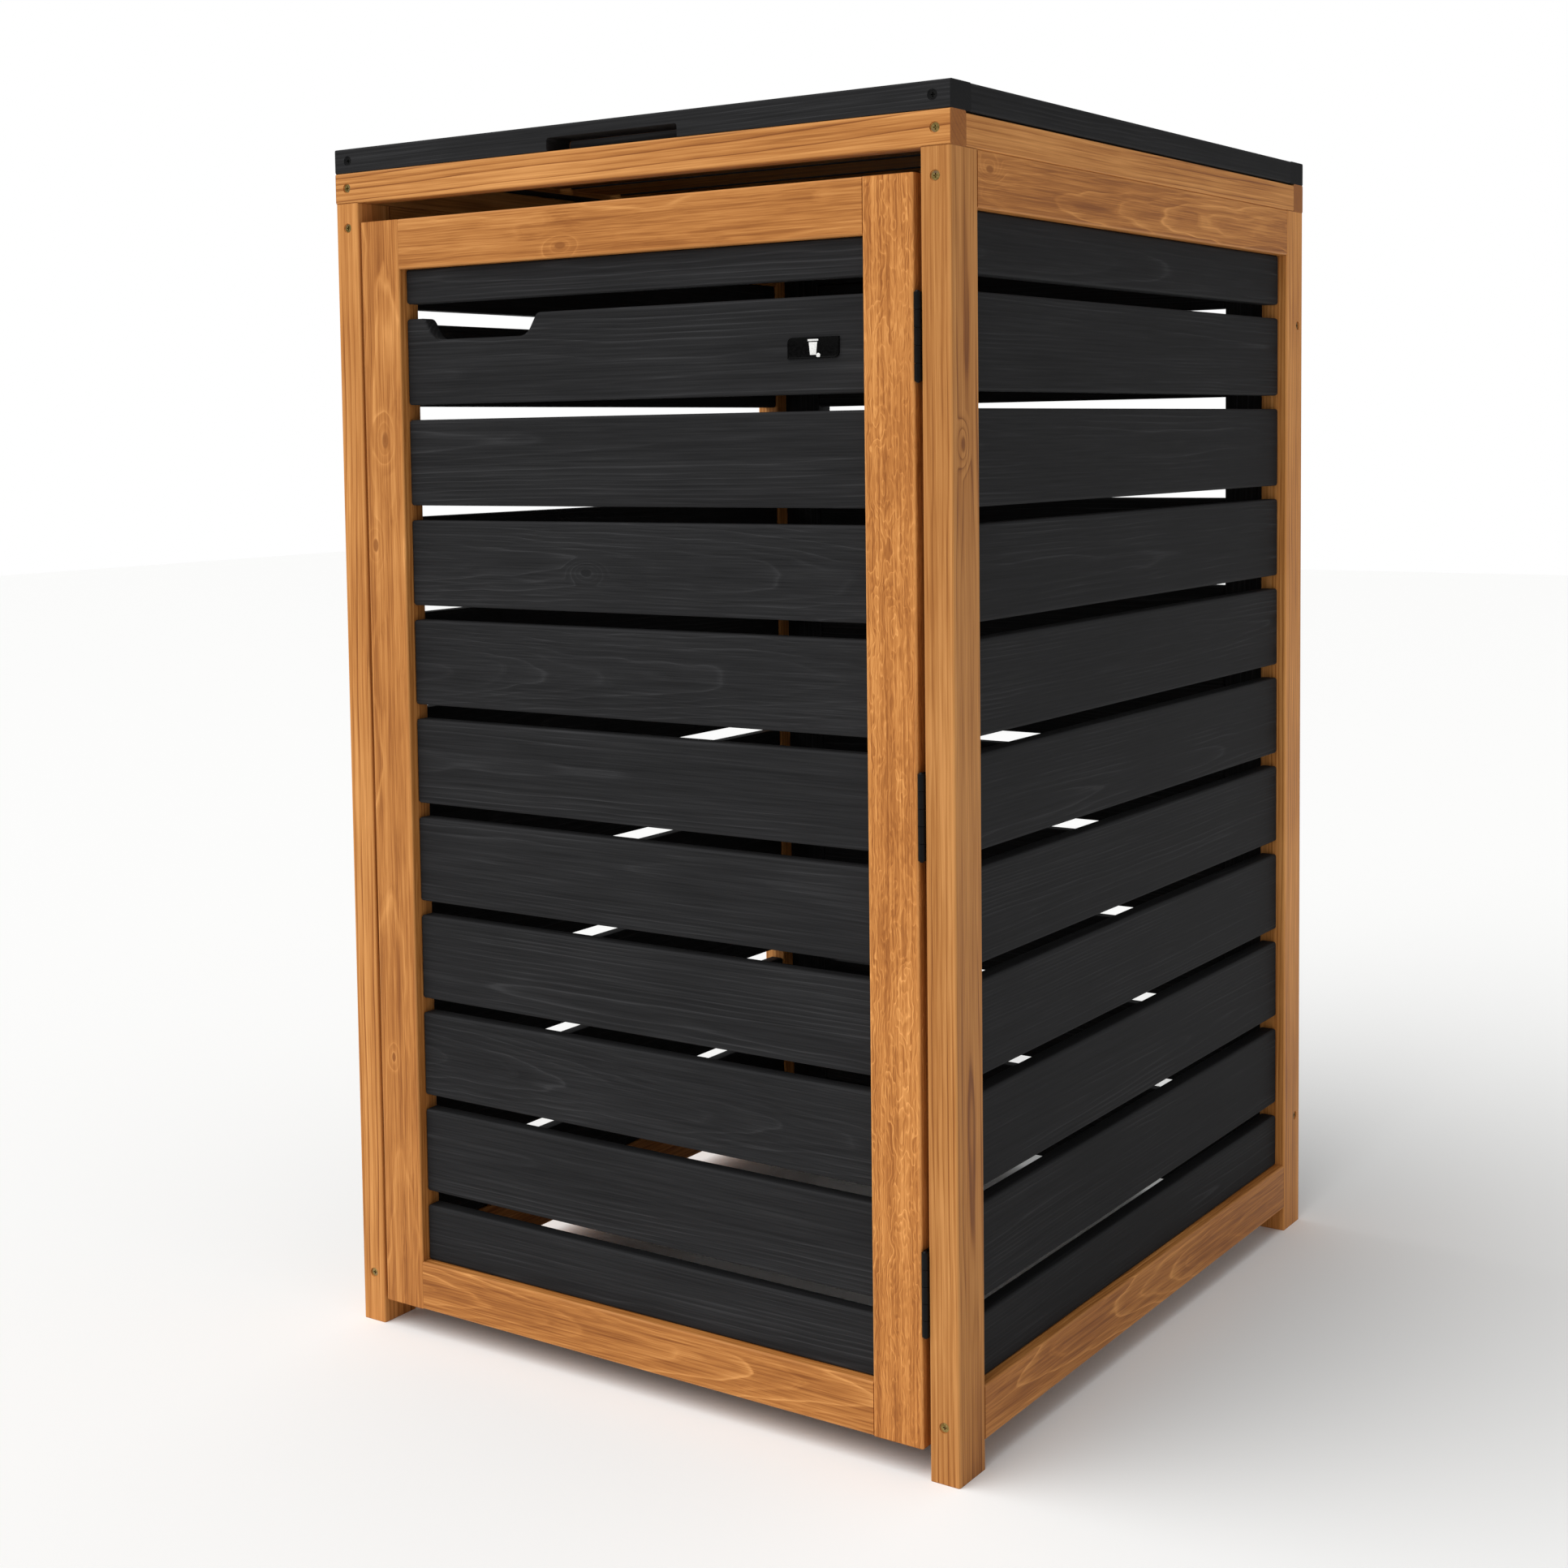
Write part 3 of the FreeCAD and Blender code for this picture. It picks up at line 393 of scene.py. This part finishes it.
# Knots: place along the board and across it in the store's frame, and radius, in metres.
KNOTS = {"door_left_stile": ((0.909, -0.291, 0.005), (0.804, -0.307, 0.004), (0.282, -0.3, 0.003)),
         "door_top_rail": ((-0.064, 1.088, 0.004),), "right_top_rail": ((-0.337, 1.131, 0.004),),
         "post_front_right": ((0.898, -0.387, 0.004),), "door_slat_8": ((-0.048, 0.782, 0.004),)}
# How much lighter or darker than the rest a board has taken the stain.
SHADES = {"door_right_stile": 1.18, "door_left_stile": 1.05, "post_front_right": 0.86,
          "post_front_left": 1.05, "post_back_right": 1.08, "right_top_rail": 1.05}
CUTS = {"door_right_stile": CURLED, "door_left_stile": PLAIN, "door_top_rail": PLAIN,
        "door_slat_3": SLATTED_ARCHED, "door_slat_7": SLATTED_ARCHED, "door_slat_8": SLATTED_ARCHED}


class BINSTORE_OT_brown_timber(bpy.types.Operator):
    """Stain the posts, the top frame, the side rails and the door frame brown."""
    bl_idname = "binstore.brown_timber"
    bl_label = "Brown timber"

    def execute(self, context):
        for number, node in enumerate(nodes_of("brown_stained_wood")):
            finish = brown_finish(context.scene.binstore_looks, SHADES.get(node, 1.0))
            low, high = board_box(node)
            run, face = run_and_face(low, high)
            cut = CUTS.get(node, STRIPED if run == 2 or "frame" in node else ARCHED)
            dress(node, stained_softwood(f"brown stained spruce {node}", low, high, run, face, finish, cut,
                                         11 + number, knots_of(node, low, high, run, face)))
        return {"FINISHED"}


def knots_of(node, low, high, run, face):
    """A board's knots, measured from its middle: along it, across it and their radius."""
    across = 3 - run - face
    middle = (low + high) / 2
    return [(along - middle[run], aside - middle[across], radius)
            for along, aside, radius in KNOTS.get(node, ())]


def nodes_of(slot):
    """Nodes that take their finish from one of the record's slots."""
    return [row["node"] for row in frame["record"]["subparts"] if row["material_slot"] == slot]


class BINSTORE_OT_black_timber(bpy.types.Operator):
    """Stain the slats, the back panel's frame and the lid black."""
    bl_idname = "binstore.black_timber"
    bl_label = "Black timber"

    def execute(self, context):
        finish = black_finish(context.scene.binstore_looks)
        second, third = board_box("door_slat_2"), board_box("door_slat_3")
        slat_row = (2, second[0].z, third[0].z - second[0].z, second[1].z - second[0].z)
        for number, node in enumerate(nodes_of("black_stained_wood")):
            low, high = board_box(node)
            run, face = run_and_face(low, high)
            rows = None
            inside = lid_inside(node, low, high, context.scene.binstore_looks)
            if node.endswith("_slats"):
                rows = slat_row
                run, face = (0, 1) if node == "back_slats" else (1, 0)
            elif node == "lid_boards":
                rows = (1, low.y, *board_row(low.y, high.y))
                run, face = 0, 2
            dress(node, stained_softwood(f"black stained spruce {node}", low, high, run, face, finish,
                                         CUTS.get(node, SLATTED), 101 + number,
                                         knots_of(node, low, high, run, face), rows, inside))
        return {"FINISHED"}


LID_BOARDS = 8
LID_SKIN = 0.7 * MM                # how deep under a face a point counts as being on it


def lid_inside(node, low, high, looks):
    """Planes past which a lid piece shows the brown stain: its inner faces, under its top."""
    between = [(0, board_box("lid_left_rail")[1].x, 1), (0, board_box("lid_right_rail")[0].x, -1)]
    planes = {"lid_left_rail": [(0, high.x - LID_SKIN, 1)], "lid_right_rail": [(0, low.x + LID_SKIN, -1)],
              "lid_front_rail": [(1, high.y - LID_SKIN, 1), *between],
              "lid_back_rail": [(1, low.y + LID_SKIN, -1), *between],
              "lid_boards": [(2, low.z + LID_SKIN, -1)]}
    if node not in planes:
        return None
    return planes[node] + [(2, high.z - 2 * LID_SKIN, -1)], brown_finish(looks)["tones"]


def board_row(low, high):
    """Pitch and width of the lid boards, whose clear gap equals the first one at the rail."""
    gap = low - board_box("lid_front_rail")[1].y
    wide = (high - low - (LID_BOARDS - 1) * gap) / LID_BOARDS
    return wide + gap, wide


class BINSTORE_OT_hardware(bpy.types.Operator):
    """Coat the hinges and their screws, and plate the frame screws and the strike plate."""
    bl_idname = "binstore.hardware"
    bl_label = "Hardware"

    def execute(self, context):
        black = coated_steel()
        for node in nodes_of("black_coated_steel"):
            dress(node, black)
        dress("frame_screws", yellow_zinc())
        dress("strike_plate", bright_zinc())
        dress("catch_housing", moulded_plastic())
        return {"FINISHED"}


# Lumps a metre in the hardware's finishes.
COAT_CLOUDS = 180.0                # 5.5 mm, as the coat flowed
ZINC_DRIFT = 300.0                 # 3.3 mm, colours of the passivation
ZINC_SCUFFS = 150.0                # 6.7 mm, handling marks
FINE_GRAIN = 900.0                 # 1.1 mm, coarser than the real mould and print grain so that it shows
GLOSS_HAZE = 400.0                 # 2.5 mm
IOR_OF_ABS = 1.53


def coated_steel():
    """Black electrophoretic coat on steel: near black, satin, slightly uneven gloss."""
    material, tree, shader = new_material("black coated steel")
    place = add(tree, "ShaderNodeTexCoord").outputs["Object"]
    cloud = add(tree, "ShaderNodeTexNoise", {"Vector": place, "Scale": COAT_CLOUDS, "Detail": 3.0})
    rough = add(tree, "ShaderNodeMapRange", {"Value": cloud, "To Min": 0.32, "To Max": 0.5})
    tree.links.new(rough.outputs[0], shader.inputs["Roughness"])
    tone = add(tree, "ShaderNodeValToRGB", {"Fac": cloud})
    set_ramp(tone, [(0.3, linear("#060606")), (0.7, linear("#0D0D0D"))])
    tree.links.new(tone.outputs[0], shader.inputs["Base Color"])
    shader.inputs["Specular IOR Level"].default_value = 0.12
    return material


def yellow_zinc():
    """Yellow passivated zinc: pale gold metal with a faint iridescent drift."""
    material, tree, shader = new_material("yellow zinc plated steel")
    place = add(tree, "ShaderNodeTexCoord").outputs["Object"]
    cloud = add(tree, "ShaderNodeTexNoise", {"Vector": place, "Scale": ZINC_DRIFT, "Detail": 2.0})
    tone = add(tree, "ShaderNodeValToRGB", {"Fac": cloud})
    set_ramp(tone, [(0.3, linear("#6E5A30")), (0.55, linear("#A08A52")), (0.75, linear("#80645A"))])
    tree.links.new(tone.outputs[0], shader.inputs["Base Color"])
    shader.inputs["Metallic"].default_value = 1.0
    shader.inputs["Roughness"].default_value = 0.32
    return material


def bright_zinc():
    """Bright zinc: pale grey metal, lightly scuffed."""
    material, tree, shader = new_material("bright zinc plated steel")
    place = add(tree, "ShaderNodeTexCoord").outputs["Object"]
    cloud = add(tree, "ShaderNodeTexNoise", {"Vector": place, "Scale": ZINC_SCUFFS, "Detail": 4.0})
    rough = add(tree, "ShaderNodeMapRange", {"Value": cloud, "To Min": 0.25, "To Max": 0.5})
    tree.links.new(rough.outputs[0], shader.inputs["Roughness"])
    shader.inputs["Base Color"].default_value = (*linear("#B9BBBD"), 1)
    shader.inputs["Metallic"].default_value = 1.0
    return material


def moulded_plastic():
    """Black moulded ABS: smooth with a fine satin texture."""
    material, tree, shader = new_material("black moulded ABS")
    place = add(tree, "ShaderNodeTexCoord").outputs["Object"]
    grain = add(tree, "ShaderNodeTexNoise", {"Vector": place, "Scale": FINE_GRAIN, "Detail": 2.0})
    bump = add(tree, "ShaderNodeBump", {"Height": grain, "Strength": 0.1, "Distance": 0.1 * MM})
    tree.links.new(bump.outputs[0], shader.inputs["Normal"])
    shader.inputs["Base Color"].default_value = (*linear("#0E0E0F"), 1)
    shader.inputs["Roughness"].default_value = 0.3
    shader.inputs["IOR"].default_value = IOR_OF_ABS
    return material


# ---------------------------------------------------------------- name plate

def block(name, low, high):
    """A new box between two corners, selected by itself."""
    bpy.ops.object.select_all(action="DESELECT")
    middle = [(a + b) / 2 for a, b in zip(low, high)]
    bpy.ops.mesh.primitive_cube_add(size=1, location=middle, scale=[b - a for a, b in zip(low, high)])
    piece = bpy.context.active_object
    piece.name = name
    bpy.ops.object.transform_apply(location=True, rotation=True, scale=True)
    return piece


def pick(piece, kind, test):
    """In edit mode, select the faces or edges whose middle and direction pass a test."""
    bpy.ops.object.mode_set(mode="EDIT")
    bpy.ops.mesh.select_mode(type=kind)
    bpy.ops.mesh.select_all(action="DESELECT")
    bpy.ops.object.mode_set(mode="OBJECT")
    mesh = piece.data
    if kind == "FACE":
        for face in mesh.polygons:
            face.select = test(face.center, face.normal)
    else:
        for edge in mesh.edges:
            start, end = (mesh.vertices[number].co for number in edge.vertices)
            edge.select = test((start + end) / 2, (end - start).normalized())
    bpy.ops.object.mode_set(mode="EDIT")


def soften(piece, width, material):
    """Leave edit mode, round the sharp edges and give the piece its material."""
    bpy.ops.object.mode_set(mode="OBJECT")
    bevel = piece.modifiers.new("soft edges", "BEVEL")
    bevel.width = width
    bevel.segments = 2
    bpy.ops.object.modifier_apply(modifier=bevel.name)
    bpy.ops.object.shade_smooth_by_angle(angle=math.radians(30))
    piece.data.materials.append(material)


PLATE_CORNER = 5 * MM              # radius of the two rounded corners
PLATE_RIM = 0.9 * MM
RIM_SLOPE = 0.2 * MM
FIELD_DEEP = 0.25 * MM
PRINT_THICK = 0.15 * MM
SIGN_UNIT = 1.35 * MM              # the sign is about eight units wide and twelve high


class BINSTORE_OT_name_plate(bpy.types.Operator):
    """Model the blank plate with its sunk field, and a plain bin sign on it."""
    bl_idname = "binstore.name_plate"
    bl_label = "Name plate"

    def execute(self, context):
        low, high = board_box("name_plate")
        middle = (low + high) / 2
        plate = block("plate_body", low, high)
        pick(plate, "EDGE", lambda at, way: abs(way.y) > 0.9 and (at.x - middle.x) * (at.z - middle.z) < 0)
        bpy.ops.mesh.bevel(offset=PLATE_CORNER, segments=8, affect="EDGES")
        pick(plate, "FACE", lambda at, normal: normal.y < -0.9)
        bpy.ops.mesh.inset(thickness=PLATE_RIM, depth=0)
        bpy.ops.mesh.inset(thickness=RIM_SLOPE, depth=-FIELD_DEEP)
        soften(plate, 0.12 * MM, plate_plastic())

        sign = self.bin_sign(Vector((middle.x, low.y + FIELD_DEEP, middle.z)))
        soften(sign, 0.05 * MM, white_print())
        for piece in (plate, sign):
            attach(piece, "door")
        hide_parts("name_plate")
        return {"FINISHED"}

    def bin_sign(self, at):
        """A wheeled bin in outline: a body that narrows downwards, a lid and a wheel."""
        unit = SIGN_UNIT
        front = at - Vector((0, PRINT_THICK, 0))
        body = block("plate_sign", front + Vector((-3.2, 0, -4.6)) * unit, at + Vector((3.2, 0, 3.6)) * unit)
        pick(body, "FACE", lambda place, normal: normal.z < -0.9)
        bpy.ops.transform.resize(value=(0.72, 1, 1))
        bpy.ops.object.mode_set(mode="OBJECT")
        lid = block("sign_lid", front + Vector((-4.0, 0, 4.3)) * unit, at + Vector((4.0, 0, 5.5)) * unit)
        bpy.ops.object.select_all(action="DESELECT")
        bpy.ops.mesh.primitive_cylinder_add(vertices=32, radius=1.5 * unit, depth=at.y - front.y,
                                            location=(at + front) / 2 + Vector((3.9, 0, -5.0)) * unit,
                                            rotation=(math.radians(90), 0, 0))
        wheel = bpy.context.active_object
        bpy.ops.object.transform_apply(location=True, rotation=True, scale=True)
        for piece in (lid, wheel, body):
            piece.select_set(True)
        bpy.context.view_layer.objects.active = body
        bpy.ops.object.join()
        return body


def plate_plastic():
    """Glossy black moulded plastic: deep black with a clear highlight and fine haze."""
    material, tree, shader = new_material("gloss black ABS")
    place = add(tree, "ShaderNodeTexCoord").outputs["Object"]
    haze = add(tree, "ShaderNodeTexNoise", {"Vector": place, "Scale": GLOSS_HAZE, "Detail": 3.0})
    tree.links.new(spread(tree, haze, 0.3, 0.7, 0.22, 0.4), shader.inputs["Roughness"])
    tone = add(tree, "ShaderNodeValToRGB", {"Fac": haze})
    set_ramp(tone, [(0.3, linear("#020202")), (0.7, linear("#060606"))])
    tree.links.new(tone.outputs[0], shader.inputs["Base Color"])
    shader.inputs["Specular IOR Level"].default_value = 0.05
    return material


def white_print():
    """White pad print: matt off-white ink with a slightly uneven film."""
    material, tree, shader = new_material("white pad print")
    place = add(tree, "ShaderNodeTexCoord").outputs["Object"]
    film = add(tree, "ShaderNodeTexNoise", {"Vector": place, "Scale": FINE_GRAIN, "Detail": 2.0})
    tone = add(tree, "ShaderNodeValToRGB", {"Fac": film})
    set_ramp(tone, [(0.3, linear("#D9D9D6")), (0.7, linear("#F4F4F2"))])
    tree.links.new(tone.outputs[0], shader.inputs["Base Color"])
    tree.links.new(spread(tree, film, 0.3, 0.7, 0.45, 0.6), shader.inputs["Roughness"])
    return material


# ---------------------------------------------------------------- stage

SKY_LIGHT = 0.42                          # soft light from all round
SKY_SEEN = 1.0                            # the backdrop itself stays white
SUN_FROM = (-0.55, -0.85, 1.3)            # from the left, the front and above
SUN_SPREAD = math.radians(70)             # as wide as a big softbox looks from the store
FLOOR_SIZE = 24
CAMERA_PLACE = (1.2686, -2.0776, 0.9081)
CAMERA_TURN = (85.959, -0.883, 35.583)    # tilt from straight down, roll and heading, in degrees
CAMERA_LENS = 52.07                       # on a 36 mm sensor
CAMERA_SHIFT = (0.0637, -0.1193)


class BINSTORE_OT_stage(bpy.types.Operator):
    """Add the pale floor, the soft studio light and the camera."""
    bl_idname = "binstore.stage"
    bl_label = "Stage"

    def execute(self, context):
        looks = context.scene.binstore_looks
        bpy.ops.object.select_all(action="DESELECT")
        bpy.ops.mesh.primitive_plane_add(size=FLOOR_SIZE, location=(0, 0, 0))
        floor = context.active_object
        floor.name = "floor"
        material, _, shader = new_material("matt pale floor")
        shader.inputs["Base Color"].default_value = (*looks.floor_tone, 1)
        shader.inputs["Roughness"].default_value = 0.9
        floor.data.materials.append(material)

        world = bpy.data.worlds.new("studio")
        context.scene.world = world
        world.use_nodes = True
        tree = world.node_tree
        seen = add(tree, "ShaderNodeLightPath").outputs["Is Camera Ray"]
        strength = spread(tree, seen, 0.0, 1.0, SKY_LIGHT, SKY_SEEN)
        tree.links.new(strength, tree.nodes["Background"].inputs["Strength"])
        tree.nodes["Background"].inputs["Color"].default_value = (1, 1, 1, 1)
        lamp = bpy.data.lights.new("softbox", "SUN")
        lamp.energy = looks.light_power
        lamp.angle = SUN_SPREAD
        light = bpy.data.objects.new("softbox", lamp)
        context.collection.objects.link(light)
        light.rotation_euler = Vector(SUN_FROM).to_track_quat("Z", "Y").to_euler()

        lens = bpy.data.cameras.new("camera")
        lens.lens = CAMERA_LENS
        lens.sensor_width = 36
        lens.shift_x, lens.shift_y = CAMERA_SHIFT
        camera = bpy.data.objects.new("camera", lens)
        context.collection.objects.link(camera)
        tilt, roll, heading = (math.radians(a) for a in CAMERA_TURN)
        camera.matrix_world = (Matrix.Translation(CAMERA_PLACE) @ Matrix.Rotation(heading, 4, "Z")
                               @ Matrix.Rotation(tilt, 4, "X") @ Matrix.Rotation(roll, 4, "Z"))
        context.scene.camera = camera
        context.scene.view_settings.view_transform = "Standard"
        return {"FINISHED"}


class BINSTORE_PT_panel(bpy.types.Panel):
    """Sidebar panel that lists the steps."""
    bl_idname = "BINSTORE_PT_panel"
    bl_label = "Bin Store"
    bl_space_type = "VIEW_3D"
    bl_region_type = "UI"
    bl_category = "Bin Store"

    def draw(self, context):
        looks = context.scene.binstore_looks
        for name in looks.bl_rna.properties.keys():
            if name not in ("rna_type", "name"):
                self.layout.prop(looks, name)
        for step in STEPS:
            self.layout.operator(step.bl_idname)


STEPS = (BINSTORE_OT_brown_timber, BINSTORE_OT_black_timber, BINSTORE_OT_hardware,
         BINSTORE_OT_name_plate, BINSTORE_OT_stage)
CLASSES = (BINSTORE_PG_looks, *STEPS, BINSTORE_PT_panel)


def register():
    """Register the classes and the settings."""
    for made in CLASSES:
        bpy.utils.register_class(made)
    bpy.types.Scene.binstore_looks = PointerProperty(type=BINSTORE_PG_looks)


def unregister():
    """Undo what register did."""
    del bpy.types.Scene.binstore_looks
    for made in reversed(CLASSES):
        bpy.utils.unregister_class(made)


def main():
    """Dress the store and set the stage."""
    register()
    bpy.ops.binstore.brown_timber()
    bpy.ops.binstore.black_timber()
    bpy.ops.binstore.hardware()
    bpy.ops.binstore.name_plate()
    bpy.ops.binstore.stage()


if __name__ == "__main__":
    main()
